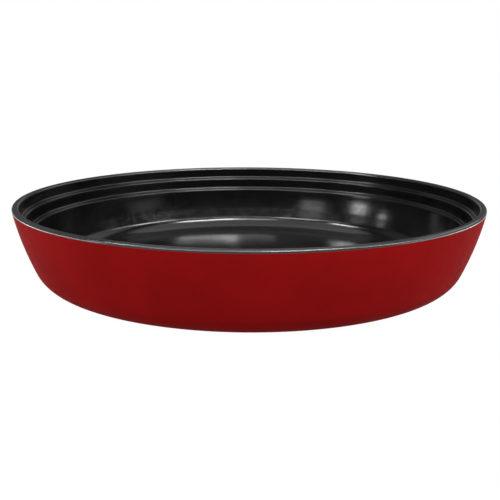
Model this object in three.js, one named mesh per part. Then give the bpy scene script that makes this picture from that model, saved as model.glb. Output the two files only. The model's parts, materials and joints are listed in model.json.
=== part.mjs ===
// A round, handle-less cast iron pan with enamelled surfaces, in millimetres, +Z up.
// The origin is the centre of the foot ring, on the surface that the pan stands on.
//
// The pan is one iron casting. Four fired coats lie on it: a coloured one outside, a black one on
// the cooking side, a grey band over the lip and a black one under the base. Only the foot ring
// stays bare, and the pan stands on it. Every solid is turned about the Z axis.
//
// A section is drawn at the right of the axis as a list of points [radius, height]. It runs from
// the foot ring up the outside, over the lip and down the inside to the middle of the floor, so
// the pan's material always lies on its left-hand side.

import * as THREE from 'three';

// ---------------------------------------------------------------------------------------------
// Driving dimensions
// ---------------------------------------------------------------------------------------------

// Overall
const RIM_RADIUS = 140;
const PAN_HEIGHT = 48;

// Outside: the wall bows gently, so its lean from the vertical grows from the rim to the corner
const LEAN_AT_RIM = degrees(12);
const LEAN_AT_CORNER = degrees(24.5);
const CORNER_RADIUS = 18;

// Lip
const RIM_WIDTH = 4.1;
const RIM_OUTER_ROUND = 1.4;
const RIM_INNER_ROUND = 1.5;

// Inside: two ledges run round the wall, one below the other, and the wall under them bends
// inwards twice, so that it follows the bowed outside
const UPPER_WALL_LEAN = degrees(4);
const LEDGE_DEPTHS = [7.4, 14.9];
const LEDGE_WIDTH = 3.2;
const LEDGE_FILLET = 1.3;
const LEDGE_ROUND = 1.2;
const WALL_LEANS = [degrees(8), degrees(13)];
const BEND_DEPTHS = [20.5, 27.5];
const BEND_RADIUS = 58;
const WALL_OVER_FLOOR = 5.9;
const FLOOR_FILLET = 11;
const FLOOR_THICKNESS = 4.5;

// Base
const FOOT_HEIGHT = 0.6;
const FOOT_WIDTH = 7;
const FOOT_INSET = 2;
const RECESS_HEIGHT = 1;

// Fired coats, drawn a hair clear of the iron so that the solids never cut each other
const ENAMEL_THICKNESS = 0.4;
const BOND_GAP = 0.02;

// Fineness of the turned solids
const TURN_STEPS = 48;
const CORNER_STEPS = 5;
const WALL_STEPS = 4;
const ROUND_STEPS = 3;
const LEDGE_STEPS = 2;
const BEND_STEPS = 2;

// A rounding takes at most this share of each straight stretch beside it
const ROUNDING_SHARE = 0.45;

// ---------------------------------------------------------------------------------------------
// Drawing helpers
// ---------------------------------------------------------------------------------------------

function degrees(angle) {
  return THREE.MathUtils.degToRad(angle);
}

function towards(angle, distance, [radius, height] = [0, 0]) {
  return [radius + distance * Math.cos(angle), height + distance * Math.sin(angle)];
}

// The points after the first one of an arc about centre
function arc(centre, arcRadius, start, end, steps) {
  const points = [];
  for (let step = 1; step <= steps; step += 1) {
    points.push(towards(start + ((end - start) * step) / steps, arcRadius, centre));
  }
  return points;
}

// Rounds the corner between the lines to before and to after, and returns the rounding's points
function roundedCorner(before, corner, after, wantedRadius, steps) {
  const back = new THREE.Vector2(before[0] - corner[0], before[1] - corner[1]);
  const ahead = new THREE.Vector2(after[0] - corner[0], after[1] - corner[1]);
  const room = ROUNDING_SHARE * Math.min(back.length(), ahead.length());
  const halfOpening = Math.acos(back.normalize().dot(ahead.normalize())) / 2;
  const tangent = Math.min(wantedRadius / Math.tan(halfOpening), room);
  const radius = tangent * Math.tan(halfOpening);
  const bisector = back.clone().add(ahead).angle();
  const centre = towards(bisector, tangent / Math.cos(halfOpening), corner);
  const first = towards(back.angle(), tangent, corner);
  const start = Math.atan2(first[1] - centre[1], first[0] - centre[0]);
  const turn = Math.sign(ahead.cross(back));
  const sweep = turn * (Math.PI - 2 * halfOpening);
  return [first, ...arc(centre, radius, start, start + sweep, steps)];
}

// Moves an open line to its left by distance, with mitred corners
function offsetLine(points, distance) {
  return points.map(([radius, height], index) => {
    const normals = [];
    for (const [from, to] of [[index - 1, index], [index, index + 1]]) {
      if (from < 0 || to >= points.length) continue;
      const along = new THREE.Vector2(...points[to]).sub(new THREE.Vector2(...points[from])).normalize();
      normals.push(new THREE.Vector2(-along.y, along.x));
    }
    const middle = normals[0].clone().add(normals[normals.length - 1]).normalize();
    const reach = distance / middle.dot(normals[0]);
    return [radius + reach * middle.x, height + reach * middle.y];
  });
}

// Turns a section about Z. It starts and ends on the axis, or closes on itself.
function turned(name, section, colour, roughness, metalness) {
  const outline = section.map(([radius, height]) => new THREE.Vector2(radius, height));
  const geometry = new THREE.LatheGeometry(outline, TURN_STEPS);
  geometry.rotateX(Math.PI / 2);
  const material = new THREE.MeshStandardMaterial({ color: colour, roughness, metalness });
  const mesh = new THREE.Mesh(geometry, material);
  mesh.name = name;
  return mesh;
}

// The stretch of a coat between two points of the finished surface, closed on itself
function coatSection(first, last) {
  const surface = finished.slice(first, last + 1);
  return [...surface, ...underCoats.slice(first, last + 1).reverse(), surface[0]];
}

// ---------------------------------------------------------------------------------------------
// Outside, from the foot ring up to where the lip's rounding starts
// ---------------------------------------------------------------------------------------------

const lipCentre = [RIM_RADIUS - RIM_OUTER_ROUND, PAN_HEIGHT - RIM_OUTER_ROUND];
const wallTop = towards(-LEAN_AT_RIM, RIM_OUTER_ROUND, lipCentre);
const cornerRise = FOOT_HEIGHT + CORNER_RADIUS * (1 - Math.sin(LEAN_AT_CORNER));
const bowRadius = (wallTop[1] - cornerRise) / (Math.sin(LEAN_AT_CORNER) - Math.sin(LEAN_AT_RIM));
const bowCentre = towards(-LEAN_AT_RIM, -bowRadius, wallTop);
const wallFoot = towards(-LEAN_AT_CORNER, bowRadius, bowCentre);
const cornerCentre = towards(-LEAN_AT_CORNER, -CORNER_RADIUS, wallFoot);
const footOuter = cornerCentre[0] - FOOT_INSET;
const footInner = footOuter - FOOT_WIDTH;

function outsideRadius(height) {
  return bowCentre[0] + Math.sqrt(bowRadius ** 2 - (height - bowCentre[1]) ** 2);
}

const outside = [
  [footOuter + BOND_GAP, FOOT_HEIGHT],
  [cornerCentre[0], FOOT_HEIGHT],
  ...arc(cornerCentre, CORNER_RADIUS, -Math.PI / 2, -LEAN_AT_CORNER, CORNER_STEPS),
  ...arc(bowCentre, bowRadius, -LEAN_AT_CORNER, -LEAN_AT_RIM, WALL_STEPS),
];

// ---------------------------------------------------------------------------------------------
// Inside, from the lip down over the two ledges to the middle of the floor
// ---------------------------------------------------------------------------------------------

const floorHeight = FOOT_HEIGHT + FLOOR_THICKNESS;

// The sharp corners of the inside, each with the radius and steps of its rounding
function insideCorners() {
  const corners = [{ at: [RIM_RADIUS - RIM_WIDTH, PAN_HEIGHT], radius: RIM_INNER_ROUND, steps: ROUND_STEPS }];
  let [radius, height] = corners[0].at;
  for (const depth of LEDGE_DEPTHS) {
    const ledgeHeight = PAN_HEIGHT - depth;
    radius -= (height - ledgeHeight) * Math.tan(UPPER_WALL_LEAN);
    height = ledgeHeight;
    corners.push({ at: [radius, height], radius: LEDGE_FILLET, steps: LEDGE_STEPS });
    radius -= LEDGE_WIDTH;
    corners.push({ at: [radius, height], radius: LEDGE_ROUND, steps: LEDGE_STEPS });
  }
  for (const [index, lean] of WALL_LEANS.entries()) {
    const bendHeight = PAN_HEIGHT - BEND_DEPTHS[index];
    radius -= (height - bendHeight) * Math.tan(lean);
    height = bendHeight;
    corners.push({ at: [radius, height], radius: BEND_RADIUS, steps: BEND_STEPS });
  }
  const filletTop = floorHeight + FLOOR_FILLET;
  const wallOverFillet = outsideRadius(filletTop) - WALL_OVER_FLOOR;
  const slope = (radius - wallOverFillet) / (height - filletTop);
  radius -= (height - floorHeight) * slope;
  corners.push({ at: [radius, floorHeight], radius: FLOOR_FILLET, steps: CORNER_STEPS });
  return corners;
}

const corners = insideCorners();
const floorMiddle = [0, floorHeight];
const lipTop = [lipCentre[0], PAN_HEIGHT];

const roundings = corners.map(({ at, radius, steps }, index) => {
  const before = index === 0 ? lipTop : corners[index - 1].at;
  const after = index === corners.length - 1 ? floorMiddle : corners[index + 1].at;
  return roundedCorner(before, at, after, radius, steps);
});

// ---------------------------------------------------------------------------------------------
// Finished surfaces, and the iron under them
// ---------------------------------------------------------------------------------------------

const lip = [
  wallTop,
  [RIM_RADIUS, lipCentre[1]],
  ...arc(lipCentre, RIM_OUTER_ROUND, 0, Math.PI / 2, ROUND_STEPS),
  ...roundings[0],
];
const inside = [lip[lip.length - 1], ...roundings.slice(1).flat(), floorMiddle];

const finished = [...outside, ...lip.slice(1), ...inside.slice(1)];
const underCoats = offsetLine(finished, ENAMEL_THICKNESS);
const iron = offsetLine(finished, ENAMEL_THICKNESS + BOND_GAP);
const lipStart = outside.length - 1;
const insideStart = lipStart + lip.length - 1;
const insideEnd = finished.length - 1;

const baseCoatTop = RECESS_HEIGHT + ENAMEL_THICKNESS;
const recessTop = baseCoatTop + BOND_GAP;
const ironUnderside = [
  [0, recessTop],
  [footInner, recessTop],
  [footInner, 0],
  [footOuter, 0],
  [footOuter, iron[0][1]],
];

// ---------------------------------------------------------------------------------------------
// The pieces
// ---------------------------------------------------------------------------------------------

function ironCasting() {
  return turned('iron_casting', [...ironUnderside, ...iron.slice(1)], 0x3a3836, 0.75, 0.6);
}

function exteriorEnamel() {
  return turned('exterior_enamel', coatSection(0, lipStart), 0x7c0d10, 0.4, 0);
}

function rimBand() {
  return turned('rim_band', coatSection(lipStart, insideStart), 0x4a4b4c, 0.35, 0);
}

function interiorEnamel() {
  return turned('interior_enamel', coatSection(insideStart, insideEnd), 0x161617, 0.35, 0);
}

function baseEnamel() {
  const edge = footInner - BOND_GAP;
  const section = [[0, RECESS_HEIGHT], [edge, RECESS_HEIGHT], [edge, baseCoatTop], [0, baseCoatTop]];
  return turned('base_enamel', section, 0x1c1c1d, 0.6, 0);
}

const pan = new THREE.Group();
pan.add(ironCasting(), exteriorEnamel(), rimBand(), interiorEnamel(), baseEnamel());

export default pan;
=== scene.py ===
# %% [markdown]
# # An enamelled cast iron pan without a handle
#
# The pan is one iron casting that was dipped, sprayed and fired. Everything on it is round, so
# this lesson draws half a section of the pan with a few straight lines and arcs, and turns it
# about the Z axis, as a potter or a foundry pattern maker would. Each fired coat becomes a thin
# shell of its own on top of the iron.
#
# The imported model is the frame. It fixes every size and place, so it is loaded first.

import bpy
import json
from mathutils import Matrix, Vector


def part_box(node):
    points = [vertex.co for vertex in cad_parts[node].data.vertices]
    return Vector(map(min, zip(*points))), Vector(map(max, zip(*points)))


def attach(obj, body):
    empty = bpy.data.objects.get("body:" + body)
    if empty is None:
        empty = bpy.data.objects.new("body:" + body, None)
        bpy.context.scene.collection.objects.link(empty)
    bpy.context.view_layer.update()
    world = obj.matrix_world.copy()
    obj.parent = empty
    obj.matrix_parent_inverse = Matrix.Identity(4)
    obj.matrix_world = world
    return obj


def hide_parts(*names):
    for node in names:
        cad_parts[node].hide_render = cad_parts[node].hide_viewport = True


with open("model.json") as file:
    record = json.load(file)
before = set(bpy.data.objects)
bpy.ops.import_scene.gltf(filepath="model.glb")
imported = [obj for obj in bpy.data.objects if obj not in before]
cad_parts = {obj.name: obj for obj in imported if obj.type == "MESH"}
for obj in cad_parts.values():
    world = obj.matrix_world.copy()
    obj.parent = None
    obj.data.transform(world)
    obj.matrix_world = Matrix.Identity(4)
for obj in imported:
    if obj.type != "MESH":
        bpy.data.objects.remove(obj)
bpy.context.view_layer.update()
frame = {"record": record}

# %% [markdown]
# Blender's own modules come next. A bmesh is a mesh that can be edited in code, and mathutils has
# the vectors. All lengths are metres, so a value in millimetres is written as a number times MM.

# %% Modules and the millimetre
import json
from math import cos, pi, radians, sin, sqrt, tan

import bmesh
import bpy
from mathutils import Quaternion, Vector

MM = 0.001

# %% [markdown]
# ## Sizes
#
# The lip, the foot and the seats are read from the frame: from the boxes of its nodes and from
# the points of its mounts. What a box can't say, such as how far the wall leans, is given here
# with the same values that the frame was built from.

# %% Sizes from the frame
seats = {mount["name"]: Vector(mount["pos_m"]) for mount in frame["record"]["mounts"]}
lip_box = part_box("rim_band")
RIM_RADIUS = lip_box[1].x
PAN_TOP = lip_box[1].z
FLOOR_TOP = seats["cooking_floor"].z
LEDGE_TOPS = [seats["upper_ledge"].z, seats["lower_ledge"].z]
FOOT_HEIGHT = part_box("exterior_enamel")[0].z
RECESS_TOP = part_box("base_enamel")[0].z
ENAMEL = FLOOR_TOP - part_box("interior_enamel")[0].z
print(f"lip radius {RIM_RADIUS:.4f}, top {PAN_TOP:.4f}, floor {FLOOR_TOP:.4f}, coat {ENAMEL:.5f}")

# %% Sizes that no box gives
LEAN_AT_RIM = radians(12)
LEAN_AT_CORNER = radians(24.5)
CORNER_RADIUS = 18 * MM
RIM_WIDTH = 4.1 * MM
RIM_OUTER_ROUND = 1.4 * MM
RIM_INNER_ROUND = 1.5 * MM
UPPER_WALL_LEAN = radians(4)
LEDGE_WIDTH = 3.2 * MM
LEDGE_FILLET = 1.3 * MM
LEDGE_ROUND = 1.2 * MM
WALL_LEANS = [radians(8), radians(13)]
BEND_DEPTHS = [20.5 * MM, 27.5 * MM]
BEND_RADIUS = 58 * MM
WALL_OVER_FLOOR = 5.9 * MM
FLOOR_FILLET = 11 * MM
FOOT_WIDTH = 7 * MM
FOOT_INSET = 2 * MM
BOND_GAP = 0.02 * MM

# %% [markdown]
# The outside wall isn't straight. It bows very slightly, like the side of a barrel, so three arcs
# that meet without a kink make the outside: the corner over the foot, the long bow of the wall
# and the lip. Their centres follow from the leans and the radii.

# %% Centres of the three outside arcs
def from_centre(centre, radius, lean):
    """The point of an arc where the wall leans that far from the vertical."""
    return Vector((centre.x + radius * cos(lean), centre.y - radius * sin(lean)))


lip_centre = Vector((RIM_RADIUS - RIM_OUTER_ROUND, PAN_TOP - RIM_OUTER_ROUND))
wall_top = from_centre(lip_centre, RIM_OUTER_ROUND, LEAN_AT_RIM)
corner_rise = FOOT_HEIGHT + CORNER_RADIUS * (1 - sin(LEAN_AT_CORNER))
bow_radius = (wall_top.y - corner_rise) / (sin(LEAN_AT_CORNER) - sin(LEAN_AT_RIM))
bow_centre = from_centre(wall_top, -bow_radius, LEAN_AT_RIM)
wall_foot = from_centre(bow_centre, bow_radius, LEAN_AT_CORNER)
corner_centre = from_centre(wall_foot, -CORNER_RADIUS, LEAN_AT_CORNER)
foot_outer = corner_centre.x - FOOT_INSET
foot_inner = foot_outer - FOOT_WIDTH
print(f"bow radius {bow_radius / MM:.1f} mm, base radius {corner_centre.x / MM:.1f} mm")

# %% [markdown]
# The inside is a chain of straight stretches between rounded corners: down from the lip, over two
# ledges that could seat a lid, down the wall and across the floor. Under the ledges the wall bends
# inwards twice, with a large radius, so that it follows the bowed outside. The list holds each
# sharp corner with the radius that rounds it. The wall keeps its thickness to the outside just
# above the floor's rounding.

# %% Corners of the inside
def outside_radius(height):
    return bow_centre.x + sqrt(bow_radius ** 2 - (height - bow_centre.y) ** 2)


inside_corners = [(Vector((RIM_RADIUS - RIM_WIDTH, PAN_TOP)), RIM_INNER_ROUND)]
for ledge_top in LEDGE_TOPS:
    above = inside_corners[-1][0]
    back = above.x - (above.y - ledge_top) * tan(UPPER_WALL_LEAN)
    inside_corners.append((Vector((back, ledge_top)), LEDGE_FILLET))
    inside_corners.append((Vector((back - LEDGE_WIDTH, ledge_top)), LEDGE_ROUND))

for lean, bend_depth in zip(WALL_LEANS, BEND_DEPTHS):
    above = inside_corners[-1][0]
    bend_height = PAN_TOP - bend_depth
    back = above.x - (above.y - bend_height) * tan(lean)
    inside_corners.append((Vector((back, bend_height)), BEND_RADIUS))

edge = inside_corners[-1][0]
fillet_top = FLOOR_TOP + FLOOR_FILLET
wall_over_fillet = outside_radius(fillet_top) - WALL_OVER_FLOOR
slope = (edge.x - wall_over_fillet) / (edge.y - fillet_top)
floor_corner = Vector((edge.x - (edge.y - FLOOR_TOP) * slope, FLOOR_TOP))
inside_corners.append((floor_corner, FLOOR_FILLET))
for corner, radius in inside_corners:
    place = f"{corner.x / MM:.2f}, {corner.y / MM:.2f} mm"
    print(f"inside corner at {place}, rounded {radius / MM:.1f} mm")

# %% [markdown]
# ## Drawing a section
#
# A section is drawn like a line with a pen. Extruding a lone vertex draws a straight stretch, and
# spinning a vertex about a point draws an arc, so two operators are the whole drawing kit. A
# vertex bevel rounds a corner of the line: its offset is measured along the line, which is why
# the wanted radius is divided by the tangent of half the corner's opening.

# %% Pen and rounding
def start_at(section, point):
    return section.verts.new((point[0], 0, point[1]))


def line_to(section, end, point):
    drawn = bmesh.ops.extrude_vert_indiv(section, verts=[end])["verts"][0]
    drawn.co = (point[0], 0, point[1])
    return drawn


def arc_about(section, end, centre, turn, steps):
    """Sweeps the pen anticlockwise by turn about centre."""
    around = (centre.x, 0, centre.y)
    swept = bmesh.ops.spin(
        section, geom=[end], cent=around, axis=(0, 1, 0), angle=-turn, steps=steps,
    )
    return next(part for part in swept["geom_last"] if isinstance(part, bmesh.types.BMVert))


def round_off(section, corner, radius, steps):
    arms = [arm.other_vert(corner).co - corner.co for arm in corner.link_edges]
    reach = radius / tan(arms[0].angle(arms[1]) / 2)
    bmesh.ops.bevel(
        section, geom=[corner], offset=reach, offset_type="OFFSET", segments=steps,
        profile=0.5, affect="VERTICES", clamp_overlap=False, material=-1,
    )


# %% [markdown]
# Long straight stretches are cut into short ones. A rounding bends the shading of the faces next
# to it, and short faces keep that to a narrow ring, so the flat floor stays flat to the eye.

# %% Cut the long stretches
LONGEST_STRETCH = 2.5 * MM


def cut_long_stretches(section):
    for stretch in section.edges[:]:
        cuts = int(stretch.calc_length() / LONGEST_STRETCH)
        if cuts:
            bmesh.ops.subdivide_edges(section, edges=[stretch], cuts=cuts)


# %% [markdown]
# ## From section to solid
#
# A full spin with use_merge closes the seam. Points on the axis land on each other at the poles,
# and remove_doubles joins them. A coat starts as an open surface. Its normals are recalculated,
# and turned round if they face the iron, and only then does solidify give it its thickness, away
# from the side that is seen.

# %% Turn a section
TURN_STEPS = 256
DOUBLE_DISTANCE = 0.001 * MM


def turn_round(section):
    bmesh.ops.spin(
        section, geom=section.verts[:] + section.edges[:], cent=(0, 0, 0), axis=(0, 0, 1),
        angle=2 * pi, steps=TURN_STEPS, use_merge=True,
    )
    bmesh.ops.remove_doubles(section, verts=section.verts, dist=DOUBLE_DISTANCE)
    bmesh.ops.recalc_face_normals(section, faces=section.faces)


def face_towards(surface, target):
    """Turns a surface round if the face nearest to target looks away from it."""
    nearest = min(surface.faces, key=lambda face: (face.calc_center_median() - target).length)
    if nearest.normal.dot(target - nearest.calc_center_median()) < 0:
        bmesh.ops.reverse_faces(surface, faces=surface.faces)


# %% [markdown]
# A finished piece is a mesh object at the origin. It is shaded smooth, so that 256 flat facets look
# round, except where two faces meet at more than 40 degrees, as at the end of a coat. It then rides
# on the pan's only body, and the node of the frame that it stands in for is hidden.

# %% Finish a piece
SHARP_ANGLE = radians(40)


def finish_piece(section, name):
    mesh = bpy.data.meshes.new(name)
    section.to_mesh(mesh)
    section.free()
    mesh.shade_smooth()
    mesh.set_sharp_from_angle(angle=SHARP_ANGLE)
    piece = bpy.data.objects.new(name, mesh)
    bpy.context.scene.collection.objects.link(piece)
    low = min(vertex.co.z for vertex in mesh.vertices)
    high = max(vertex.co.z for vertex in mesh.vertices)
    print(f"{name}: {len(mesh.polygons)} faces, height {low / MM:.2f} to {high / MM:.2f} mm")
    return piece


def stand_in_for(piece, node):
    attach(piece, "root")
    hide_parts(node)


# %% [markdown]
# The outside, the lip and the inside are drawn by one function each, because they are needed
# twice: at the finished surface for the coats, and sunk a little into the metal for the casting
# under them. A convex arc that is sunk gets smaller, a hollow one gets larger, and a sharp corner
# moves along its mitre.

# %% Draw the outside and the lip
CORNER_STEPS = 24
BOW_STEPS = 20
LIP_STEPS = 20


def draw_outside(section, end, depth):
    end = line_to(section, end, (corner_centre.x, FOOT_HEIGHT + depth))
    end = arc_about(section, end, corner_centre, pi / 2 - LEAN_AT_CORNER, CORNER_STEPS)
    return arc_about(section, end, bow_centre, LEAN_AT_CORNER - LEAN_AT_RIM, BOW_STEPS)


def draw_lip(section, end):
    return arc_about(section, end, lip_centre, pi / 2 + LEAN_AT_RIM, LIP_STEPS)


# %% [markdown]
# The inside could be drawn as arcs too, but its roundings are easier to change when they are made
# last. So its sharp corners are drawn first, and each one is kept with the radius that rounds it.
# A radius grows by the depth where the corner is hollow, and shrinks by it where it stands out.

# %% Draw the inside
ROUND_STEPS = 10
FILLET_STEPS = 28


def left_of(start, end):
    along = (end - start).normalized()
    return Vector((-along.y, along.x))


def sunk(before, corner, after, depth):
    """A corner of the section, moved into the metal along its mitre."""
    side = left_of(before, corner)
    mitre = (side + left_of(corner, after)).normalized()
    return corner + mitre * depth / mitre.dot(side)


def draw_corners(section, end, corners, before, after, depth):
    """Draws the corners in turn, and gives the last vertex and the roundings still to make."""
    places = [before, *(corner for corner, radius in corners), after]
    drawn = []
    for index, (corner, radius) in enumerate(corners):
        before, after = places[index], places[index + 2]
        hollow = left_of(before, corner).dot(after - corner) < 0
        end = line_to(section, end, sunk(before, corner, after, depth))
        steps = FILLET_STEPS if radius == FLOOR_FILLET else ROUND_STEPS
        drawn.append((end, radius + depth if hollow else radius - depth, steps))
    return end, drawn


# %% [markdown]
# ## The coats
#
# The red coat runs from the side of the foot ring up to where the lip starts to round over. On
# the real pan it was sprayed on and fired. It could be a mere colour on the casting, but a shell
# of its real thickness can be lifted off, weighed and changed. Each coat is the turned surface,
# given its thickness towards the iron.

# %% Outside coat
lip_corner = inside_corners[0][0]
lip_crest = Vector((lip_centre.x, PAN_TOP))
floor_middle = Vector((0, FLOOR_TOP))
outside_view = Vector((1, 0, 0))
inside_view = Vector((0, 0, 1))


def coat_from(section, name, seen_from):
    cut_long_stretches(section)
    turn_round(section)
    face_towards(section, seen_from)
    bmesh.ops.solidify(section, geom=section.faces[:], thickness=ENAMEL)
    return finish_piece(section, name)


section = bmesh.new()
pen = start_at(section, (foot_outer + BOND_GAP, FOOT_HEIGHT))
draw_outside(section, pen, 0)
outside_coat = coat_from(section, "outside_coat", outside_view)
stand_in_for(outside_coat, "exterior_enamel")

# %% [markdown]
# The lip is rounded outside and inside with a narrow flat crest between. Its grey band starts
# where the red coat ends and reaches just over the inner edge.

# %% Lip band
section = bmesh.new()
pen = draw_lip(section, start_at(section, wall_top))
below_lip = inside_corners[1][0]
pen, roundings = draw_corners(section, pen, inside_corners[:1], lip_crest, below_lip, 0)
lip_reach = RIM_INNER_ROUND * tan((pi / 2 - UPPER_WALL_LEAN) / 2)
lip_end = lip_corner + (below_lip - lip_corner).normalized() * lip_reach
line_to(section, pen, lip_end)
for corner, radius, steps in roundings:
    round_off(section, corner, radius, steps)
bmesh.ops.remove_doubles(section, verts=section.verts, dist=DOUBLE_DISTANCE)
lip_band = coat_from(section, "lip_band", Vector((RIM_RADIUS - RIM_WIDTH / 2, 0, 1)))
stand_in_for(lip_band, "rim_band")

# %% [markdown]
# The inside coat follows the ledges, the wall and the floor. It is one open surface from the
# lip's inner edge to the middle of the floor, which the full spin closes into a bowl.

# %% Inside coat
section = bmesh.new()
pen = start_at(section, lip_end)
pen, roundings = draw_corners(section, pen, inside_corners[1:], lip_corner, floor_middle, 0)
line_to(section, pen, floor_middle)
for corner, radius, steps in roundings:
    round_off(section, corner, radius, steps)
inside_coat = coat_from(section, "inside_coat", inside_view)
stand_in_for(inside_coat, "interior_enamel")

# %% [markdown]
# Under the pan, a plain disc of ground coat covers the shallow recess inside the foot ring. Two
# points are enough for its section: one on the axis, and one just short of the ring.

# %% Base coat
section = bmesh.new()
pen = start_at(section, (0, RECESS_TOP))
line_to(section, pen, (foot_inner - BOND_GAP, RECESS_TOP))
base_coat = coat_from(section, "base_coat", -inside_view)
stand_in_for(base_coat, "base_enamel")

# %% [markdown]
# ## The iron
#
# The casting fills the space between the coats. Only its foot ring is seen, ground flat so that
# the pan stands firmly, with both of its edges broken by a small rounding.

# %% Iron casting
FOOT_EDGE = 0.25 * MM
FOOT_STEPS = 4

depth = ENAMEL + BOND_GAP
recess_roof = RECESS_TOP + depth
section = bmesh.new()
pen = start_at(section, (0, recess_roof))
pen = line_to(section, pen, (foot_inner, recess_roof))
pen = line_to(section, pen, (foot_inner, 0))
roundings = [(pen, FOOT_EDGE, FOOT_STEPS)]
pen = line_to(section, pen, (foot_outer, 0))
roundings.append((pen, FOOT_EDGE, FOOT_STEPS))
pen = line_to(section, pen, (foot_outer, FOOT_HEIGHT + depth))
pen = draw_outside(section, pen, depth)
pen = draw_lip(section, pen)
pen, inner_roundings = draw_corners(section, pen, inside_corners, lip_crest, floor_middle, depth)
line_to(section, pen, (0, FLOOR_TOP - depth))
for corner, radius, steps in roundings + inner_roundings:
    round_off(section, corner, radius, steps)
cut_long_stretches(section)
turn_round(section)
iron_body = finish_piece(section, "iron_body")
stand_in_for(iron_body, "iron_casting")

# %% [markdown]
# ## Finishes
#
# Colours are written as the sRGB hex values that a colour picker shows, and one function turns
# them into the linear values that the shaders add and multiply.

# %% Colours
def linear(hex_colour):
    channels = [int(hex_colour[start:start + 2], 16) / 255 for start in (0, 2, 4)]
    return (*(c / 12.92 if c <= 0.04045 else ((c + 0.055) / 1.055) ** 2.4 for c in channels), 1)


print("mid grey 808080 is linear", round(linear("808080")[0], 3))

# %% [markdown]
# A material is a tree of nodes. One function adds a node, sets its properties and sockets, and
# links what it is given, so each finish below reads as a list of its nodes. Every pattern is laid
# on Object coordinates, turned into millimetres, so that a noise of scale 1 / 3 has blobs of about
# 3 mm wherever they are on the pan.

# %% Nodes
def add_node(tree, kind, sockets=None, **settings):
    """Adds a node. A socket takes a value, or another node's output that is linked to it."""
    node = tree.nodes.new(kind)
    for name, value in settings.items():
        setattr(node, name, value)
    for name, value in (sockets or {}).items():
        if isinstance(value, bpy.types.NodeSocket):
            tree.links.new(value, node.inputs[name])
        else:
            node.inputs[name].default_value = value
    return node


def new_material(name):
    """An empty material and its tree."""
    material = bpy.data.materials.new(name)
    material.use_nodes = True
    material.node_tree.nodes.clear()
    return material, material.node_tree


def place_in_mm(tree):
    """Object coordinates, turned from metres into millimetres."""
    place = add_node(tree, "ShaderNodeTexCoord")
    in_mm = add_node(tree, "ShaderNodeVectorMath", {
        0: place.outputs["Object"], 1: (1 / MM, 1 / MM, 1 / MM),
    }, operation="MULTIPLY")
    return in_mm.outputs["Vector"]


def finish_with(piece, material, shader):
    tree = material.node_tree
    add_node(tree, "ShaderNodeOutputMaterial", {"Surface": shader.outputs["BSDF"]})
    piece.data.materials.append(material)
    print(f"{material.name}: {len(tree.nodes)} nodes on {piece.name}")


# %% [markdown]
# ### Vitreous enamel
#
# Enamel is ground glass with a pigment, sprayed or dipped on as a slurry and fired at about
# 800 degrees until it melts together. That gives the eye four things. The pigment lies in soft
# clouds where the slurry was thicker, with fine flecks in it, the surface keeps a shallow orange
# peel, and the gloss differs a little from place to place. All four are noises of a known size, so
# one function makes every enamel, and each coat only says how large and how strong they are. A
# painted texture could do the same, but a noise has no seams on a round pan.
#
# The patches of gloss are three times as wide as the peel. Noise values crowd around one half, so
# a Map Range node stretches 0.35 to 0.65 over what is wanted. The Mix node keeps its colour sockets
# behind those for numbers and vectors, which is why they are given by their place.

# %% Fired enamel
NOISE_RANGE = {"From Min": 0.35, "From Max": 0.65}
MIX_FIRST, MIX_SECOND, MIX_RESULT = 6, 7, 2
PATCH_TO_PEEL = 3


def fired_enamel(
    piece, name, dark, light, cloud_size, fleck, fleck_size, fleck_share,
    peel_size, peel_height, peel_strength, roughness, gloss,
):
    """Enamel on a piece. Sizes are in millimetres, and roughness gives its two ends."""
    material, tree = new_material(name)
    place = place_in_mm(tree)
    clouds = add_node(tree, "ShaderNodeTexNoise", {"Vector": place, "Scale": 1 / cloud_size})
    cloudy = add_node(tree, "ShaderNodeMapRange", {"Value": clouds.outputs["Fac"], **NOISE_RANGE})
    pigment = add_node(tree, "ShaderNodeMix", {
        0: cloudy.outputs["Result"], MIX_FIRST: linear(dark), MIX_SECOND: linear(light),
    }, data_type="RGBA")
    grains = add_node(tree, "ShaderNodeTexNoise", {
        "Vector": place, "Scale": 1 / fleck_size, "Detail": 3.0,
    })
    flecked = add_node(tree, "ShaderNodeMapRange", {
        "Value": grains.outputs["Fac"], "To Max": fleck_share, **NOISE_RANGE,
    })
    tone = add_node(tree, "ShaderNodeMix", {
        0: flecked.outputs["Result"], MIX_FIRST: pigment.outputs[MIX_RESULT],
        MIX_SECOND: linear(fleck),
    }, data_type="RGBA")
    ripples = add_node(tree, "ShaderNodeTexNoise", {
        "Vector": place, "Scale": 1 / peel_size, "Detail": 2.0,
    })
    peel = add_node(tree, "ShaderNodeBump", {
        "Height": ripples.outputs["Fac"], "Distance": peel_height * MM, "Strength": peel_strength,
    })
    patch_size = PATCH_TO_PEEL * peel_size
    patches = add_node(tree, "ShaderNodeTexNoise", {"Vector": place, "Scale": 1 / patch_size})
    gloss_spread = add_node(tree, "ShaderNodeMapRange", {
        "Value": patches.outputs["Fac"], **NOISE_RANGE,
        "To Min": roughness[0], "To Max": roughness[1],
    })
    glass = add_node(tree, "ShaderNodeBsdfPrincipled", {
        "Base Color": tone.outputs[MIX_RESULT], "Roughness": gloss_spread.outputs["Result"],
        "Specular IOR Level": gloss, "Normal": peel.outputs["Normal"],
    })
    finish_with(piece, material, glass)


# %% [markdown]
# The outside is a red satin enamel. Its matting agent scatters nearly all of the shine, so the eye
# sees a deep, even red with a faint sheen where the wall turns away. The flecks of a real coat are
# a few hundredths of a millimetre across, and they are drawn at 0.9 mm so that they show at all.

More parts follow.
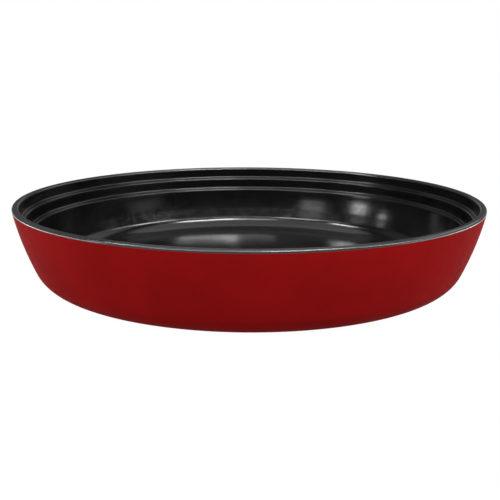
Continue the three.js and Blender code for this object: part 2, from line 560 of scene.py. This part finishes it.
# %% Red satin enamel
fired_enamel(
    outside_coat, "satin_red_enamel", dark="6b0a0b", light="720b0c", cloud_size=28,
    fleck="480708", fleck_size=0.9, fleck_share=0.12,
    peel_size=2.2, peel_height=0.05, peel_strength=0.12, roughness=(0.5, 0.58), gloss=0.006,
)

# %% [markdown]
# The inside is a satin black enamel, smooth enough for the windows of a room to show in the wall
# as soft-edged patches. Its grain breaks those patches up a little. The real grain is near 0.3 mm,
# and it is drawn at 1.3 mm, about as fine as a picture of the whole pan can show.

# %% Black satin enamel
fired_enamel(
    inside_coat, "satin_black_enamel", dark="030303", light="070707", cloud_size=20,
    fleck="0c0c0d", fleck_size=0.8, fleck_share=0.5,
    peel_size=1.3, peel_height=0.02, peel_strength=0.2, roughness=(0.14, 0.19), gloss=0.35,
)

# %% [markdown]
# The lip is wiped clean of colour before firing, so that the ground coat shows as a dark grey band.
# That coat holds cobalt and nickel to grip the iron, and fires a little rougher than the black
# coat, which gives the lip broad, soft highlights. Its grain is drawn as coarse as the black's.

# %% Grey ground coat on the lip
fired_enamel(
    lip_band, "grey_ground_coat", dark="0e0e0f", light="151516", cloud_size=12,
    fleck="1c1c1d", fleck_size=0.8, fleck_share=0.5,
    peel_size=1.3, peel_height=0.02, peel_strength=0.08, roughness=(0.19, 0.25), gloss=0.6,
)

# %% [markdown]
# Under the base the same ground coat is left matt and thick. It is fired on fixing pins and never
# polished, so it is the roughest of the coats, with a grain that a finger would feel.

# %% Matt black ground coat under the base
fired_enamel(
    base_coat, "matt_black_ground_coat", dark="131314", light="202021", cloud_size=15,
    fleck="2b2b2c", fleck_size=1.2, fleck_share=0.6,
    peel_size=1.2, peel_height=0.12, peel_strength=0.4, roughness=(0.5, 0.65), gloss=0.5,
)

# %% [markdown]
# The foot ring is bare grey cast iron, ground flat on a turning table. The wheel leaves fine rings
# about the pan's axis, and the flakes of graphite in the iron mottle it dark and light. A Wave
# texture turns about the axis by itself. One of its rings is 2 pi / 20 divided by the scale wide,
# so the scale follows from the wanted spacing. Real grinding marks are near 0.1 mm apart and are
# drawn 1 mm apart to be seen, and the flakes are drawn 2 mm across for the same reason. The metal
# keeps the default IOR.

# %% Ground cast iron
WAVE_RING = 2 * pi / 20
MARK_SPACING = 1.0
MARK_DEPTH = 0.03 * MM
FLAKE_SIZE = 2
WEAR_SIZE = 3

material, tree = new_material("ground_cast_iron")
place = place_in_mm(tree)
flakes = add_node(tree, "ShaderNodeTexNoise", {
    "Vector": place, "Scale": 1 / FLAKE_SIZE, "Detail": 4.0,
})
mottled = add_node(tree, "ShaderNodeMapRange", {"Value": flakes.outputs["Fac"], **NOISE_RANGE})
tone = add_node(tree, "ShaderNodeMix", {
    0: mottled.outputs["Result"], MIX_FIRST: linear("5b5957"), MIX_SECOND: linear("84817d"),
}, data_type="RGBA")
rings = add_node(
    tree, "ShaderNodeTexWave",
    {"Vector": place, "Scale": WAVE_RING / MARK_SPACING, "Distortion": 0.6, "Detail": 2.0},
    wave_type="RINGS", rings_direction="Z",
)
marks = add_node(tree, "ShaderNodeBump", {
    "Height": rings.outputs["Fac"], "Strength": 0.35, "Distance": MARK_DEPTH,
})
patches = add_node(tree, "ShaderNodeTexNoise", {"Vector": place, "Scale": 1 / WEAR_SIZE})
wear = add_node(tree, "ShaderNodeMapRange", {
    "Value": patches.outputs["Fac"], **NOISE_RANGE, "To Min": 0.35, "To Max": 0.5,
})
iron = add_node(tree, "ShaderNodeBsdfPrincipled", {
    "Base Color": tone.outputs[MIX_RESULT], "Metallic": 1.0, "Roughness": wear.outputs["Result"],
    "Normal": marks.outputs["Normal"],
})
finish_with(iron_body, material, iron)

# %% [markdown]
# ## Studio
#
# The pan stands on a plain pale floor of matt acrylic. To the camera the sheet glows white from
# below, as a light table does, so the pan's shadow is nearly washed out and the floor meets the
# white sky without a horizon. To the pan itself the floor is only a pale grey, because a white one
# would throw a bright band up under the lip. From below the sheet is clear, so that the foot and
# the base can be looked at, and it lies a hair under the foot, because two faces in one plane
# flicker.

# %% Floor
FLOOR_SIZE = 12.0
FLOOR_DROP = 0.05 * MM
FLOOR_GLOW = 0.6
FLOOR_WHITE = 1.02
SHADOW_WASH = 0.93

surface = bmesh.new()
bmesh.ops.create_grid(surface, x_segments=1, y_segments=1, size=FLOOR_SIZE / 2)
bmesh.ops.translate(surface, verts=surface.verts, vec=(0, 0, -FLOOR_DROP))
floor_mesh = bpy.data.meshes.new("studio_floor")
surface.to_mesh(floor_mesh)
surface.free()
studio_floor = bpy.data.objects.new("studio_floor", floor_mesh)
bpy.context.scene.collection.objects.link(studio_floor)
material, tree = new_material("pale_acrylic")
acrylic = add_node(tree, "ShaderNodeBsdfPrincipled", {
    "Base Color": linear("606060"), "Roughness": 0.9, "Specular IOR Level": 0.1,
    "Emission Color": (1, 1, 1, 1), "Emission Strength": FLOOR_GLOW,
})
glow = add_node(tree, "ShaderNodeEmission", {"Color": (1, 1, 1, 1), "Strength": FLOOR_WHITE})
rays = add_node(tree, "ShaderNodeLightPath")
wash = add_node(tree, "ShaderNodeMath", {
    0: rays.outputs["Is Camera Ray"], 1: SHADOW_WASH,
}, operation="MULTIPLY")
washed = add_node(tree, "ShaderNodeMixShader", {
    "Fac": wash.outputs[0], 1: acrylic.outputs[0], 2: glow.outputs[0],
})
sides = add_node(tree, "ShaderNodeNewGeometry")
clear = add_node(tree, "ShaderNodeBsdfTransparent")
sheet = add_node(tree, "ShaderNodeMixShader", {
    "Fac": sides.outputs["Backfacing"], 1: washed.outputs[0], 2: clear.outputs[0],
})
add_node(tree, "ShaderNodeOutputMaterial", {"Surface": sheet.outputs[0]})
floor_mesh.materials.append(material)
print(f"floor {FLOOR_SIZE:.0f} m square, {FLOOR_DROP / MM} mm under the foot")

# %% [markdown]
# A room is darker on the camera's side and lighter behind the pan. The sky's strength follows the
# direction's Y for the rays that light the pan, and only the camera sees it as plain white.

# %% Sky
SKY_FRONT = 0.03
SKY_BACK = 0.12

world = bpy.data.worlds.new("studio_sky")
bpy.context.scene.world = world
world.use_nodes = True
tree = world.node_tree
tree.nodes.clear()
rays = add_node(tree, "ShaderNodeLightPath")
outlook = add_node(tree, "ShaderNodeTexCoord")
parts = add_node(tree, "ShaderNodeSeparateXYZ", {"Vector": outlook.outputs["Generated"]})
fade = add_node(tree, "ShaderNodeMapRange", {
    "Value": parts.outputs["Y"], "From Min": 0.0, "From Max": 1.0,
    "To Min": SKY_FRONT, "To Max": SKY_BACK,
})
seen = add_node(tree, "ShaderNodeBackground", {"Color": (1, 1, 1, 1), "Strength": 1.0})
lighting = add_node(tree, "ShaderNodeBackground", {
    "Color": (1, 1, 1, 1), "Strength": fade.outputs["Result"],
})
sky = add_node(tree, "ShaderNodeMixShader", {
    "Fac": rays.outputs["Is Camera Ray"], 1: lighting.outputs[0], 2: seen.outputs[0],
})
add_node(tree, "ShaderNodeOutputWorld", {"Surface": sky.outputs[0]})
print(f"sky strength {SKY_FRONT} in front, {SKY_BACK} behind")

# %% [markdown]
# Glossy black shows its lights, not itself, so each light here has a job. Lights are given by the
# direction and the angle at which the pan sees them. They stand far off, so that the whole pan sees
# them in the same direction, and their size and power follow from the angle and from how bright
# the face of each one is. The camera doesn't see them.

# %% Kinds of light
LIGHT_DISTANCE = 4.0


def direction(azimuth, elevation):
    """A unit vector. Azimuth 0 is the camera's side, and 90 is to its right."""
    return Vector((
        sin(azimuth) * cos(elevation), -cos(azimuth) * cos(elevation), sin(elevation),
    ))


def add_light(kind, name, azimuth, elevation, distance, energy):
    data = bpy.data.lights.new(name, kind)
    data.energy = energy
    light = bpy.data.objects.new(name, data)
    light.visible_camera = False
    towards = direction(azimuth, elevation)
    light.location = towards * distance
    light.rotation_euler = towards.to_track_quat("Z", "Y").to_euler()
    bpy.context.scene.collection.objects.link(light)
    return data


def add_softbox(name, azimuth, elevation, width, height, radiance, distance=LIGHT_DISTANCE):
    """A softbox, in degrees as the pan sees it. Its power follows from how bright its face is."""
    size = [2 * distance * tan(radians(side) / 2) for side in (width, height)]
    power = radiance * pi * size[0] * size[1]
    data = add_light("AREA", name, radians(azimuth), radians(elevation), distance, power)
    data.shape = "RECTANGLE"
    data.size, data.size_y = size
    print(f"{name}: azimuth {azimuth}, elevation {elevation:.0f}, {size[0]:.2f} by {size[1]:.2f} m")


# %% [markdown]
# A wide panel overhead gives the soft grey band where the wall rounds into the floor. The keys and
# lines draw the bright lines on the ledges, the rounding and the lip. The sides and the backdrop
# keep the ledges from going black where they turn away, and the windows give the patches in the
# wall.

# %% Overhead panel and softboxes
OVERHEAD_ELEVATION = radians(84)
OVERHEAD_POWER = 2.0
OVERHEAD_ANGLE = radians(80)

overhead = add_light(
    "SUN", "overhead_panel", 0, OVERHEAD_ELEVATION, LIGHT_DISTANCE, OVERHEAD_POWER,
)
overhead.angle = OVERHEAD_ANGLE

# Each row: name, azimuth, elevation, width and height in degrees, radiance
SOFTBOXES = [
    ("key_right", 34, 53, 30, 4, 78),
    ("key_front", 0, 54, 24, 4, 23),
    ("key_left", -75, 45, 14, 5, 44),
    ("line_left", -34, 35, 24, 4, 22),
    ("line_right", 68, 30, 26, 4, 26),
    ("side_left", -125, 31, 50, 26, 0.3),
    ("side_right", 122, 31, 56, 26, 1.1),
    ("window_front", -41, 19, 14, 9, 4),
    ("window_middle", -72, 13.5, 9, 9, 13),
    ("window_back", -90, 14, 4, 5, 12),
    ("window_right", 68, 12, 24, 10, 0.5),
    ("window_right_pane", 68, 13, 12, 6, 0.5),
    ("backdrop", 180, 12, 20, 16, 0.2),
]
for softbox in SOFTBOXES:
    add_softbox(*softbox)

# %% [markdown]
# A row of strips in front carries the thin line above the rounding from one side to the other. Each
# strip hangs a little lower than the one nearer the middle, because the wall mirrors lower places
# towards its sides.

# %% Strips
STRIP_WIDTH = 15
STRIP_HEIGHT = 4
STRIP_RADIANCE = 8
STRIP_LOWEST = 26
STRIP_RISE = 7

for azimuth in range(-60, 91, STRIP_WIDTH):
    elevation = STRIP_LOWEST + STRIP_RISE * cos(radians(azimuth))
    name = f"strip_{azimuth}"
    add_softbox(name, azimuth, elevation, STRIP_WIDTH, STRIP_HEIGHT, STRIP_RADIANCE)

# %% [markdown]
# Two low kickers brighten the red where the sides turn away. They stand close by and lower than
# the lip, so nothing inside the pan can mirror them.

# %% Kickers
KICKER_DISTANCE = 0.3
KICKER_ELEVATION = 3.8
KICKER_WIDTH = 50
KICKER_HEIGHT = 6.4

for name, azimuth, radiance in (("kicker_left", -80, 8), ("kicker_right", 80, 7)):
    add_softbox(
        name, azimuth, KICKER_ELEVATION, KICKER_WIDTH, KICKER_HEIGHT, radiance, KICKER_DISTANCE,
    )

# %% [markdown]
# The camera looks down on the pan at about 12 degrees from a little over half a metre. It is aimed
# just below the middle of the pan, and turned by a quarter of a degree about its own axis, as a
# camera held by hand is. The view transform is set to Standard, so that a white stays white.

# %% Camera
CAMERA_LENS = 61.53
CAMERA_DISTANCE = 525.8 * MM
CAMERA_ELEVATION = radians(12.07)
CAMERA_ROLL = radians(0.25)
TARGET = Vector((0, 0, 25.85 * MM))
AIM = Vector((0.51 * MM, -2.29 * MM, 15.86 * MM))

camera_data = bpy.data.cameras.new("camera")
camera_data.lens = CAMERA_LENS
camera = bpy.data.objects.new("camera", camera_data)
camera.location = TARGET + direction(0, CAMERA_ELEVATION) * CAMERA_DISTANCE
camera.rotation_mode = "QUATERNION"
looking = (AIM - camera.location).to_track_quat("-Z", "Y")
camera.rotation_quaternion = looking @ Quaternion((0, 0, 1), CAMERA_ROLL)
bpy.context.scene.collection.objects.link(camera)
bpy.context.scene.camera = camera
bpy.context.scene.view_settings.view_transform = "Standard"
print(f"camera at {[round(value, 3) for value in camera.location]}, lens {CAMERA_LENS} mm")
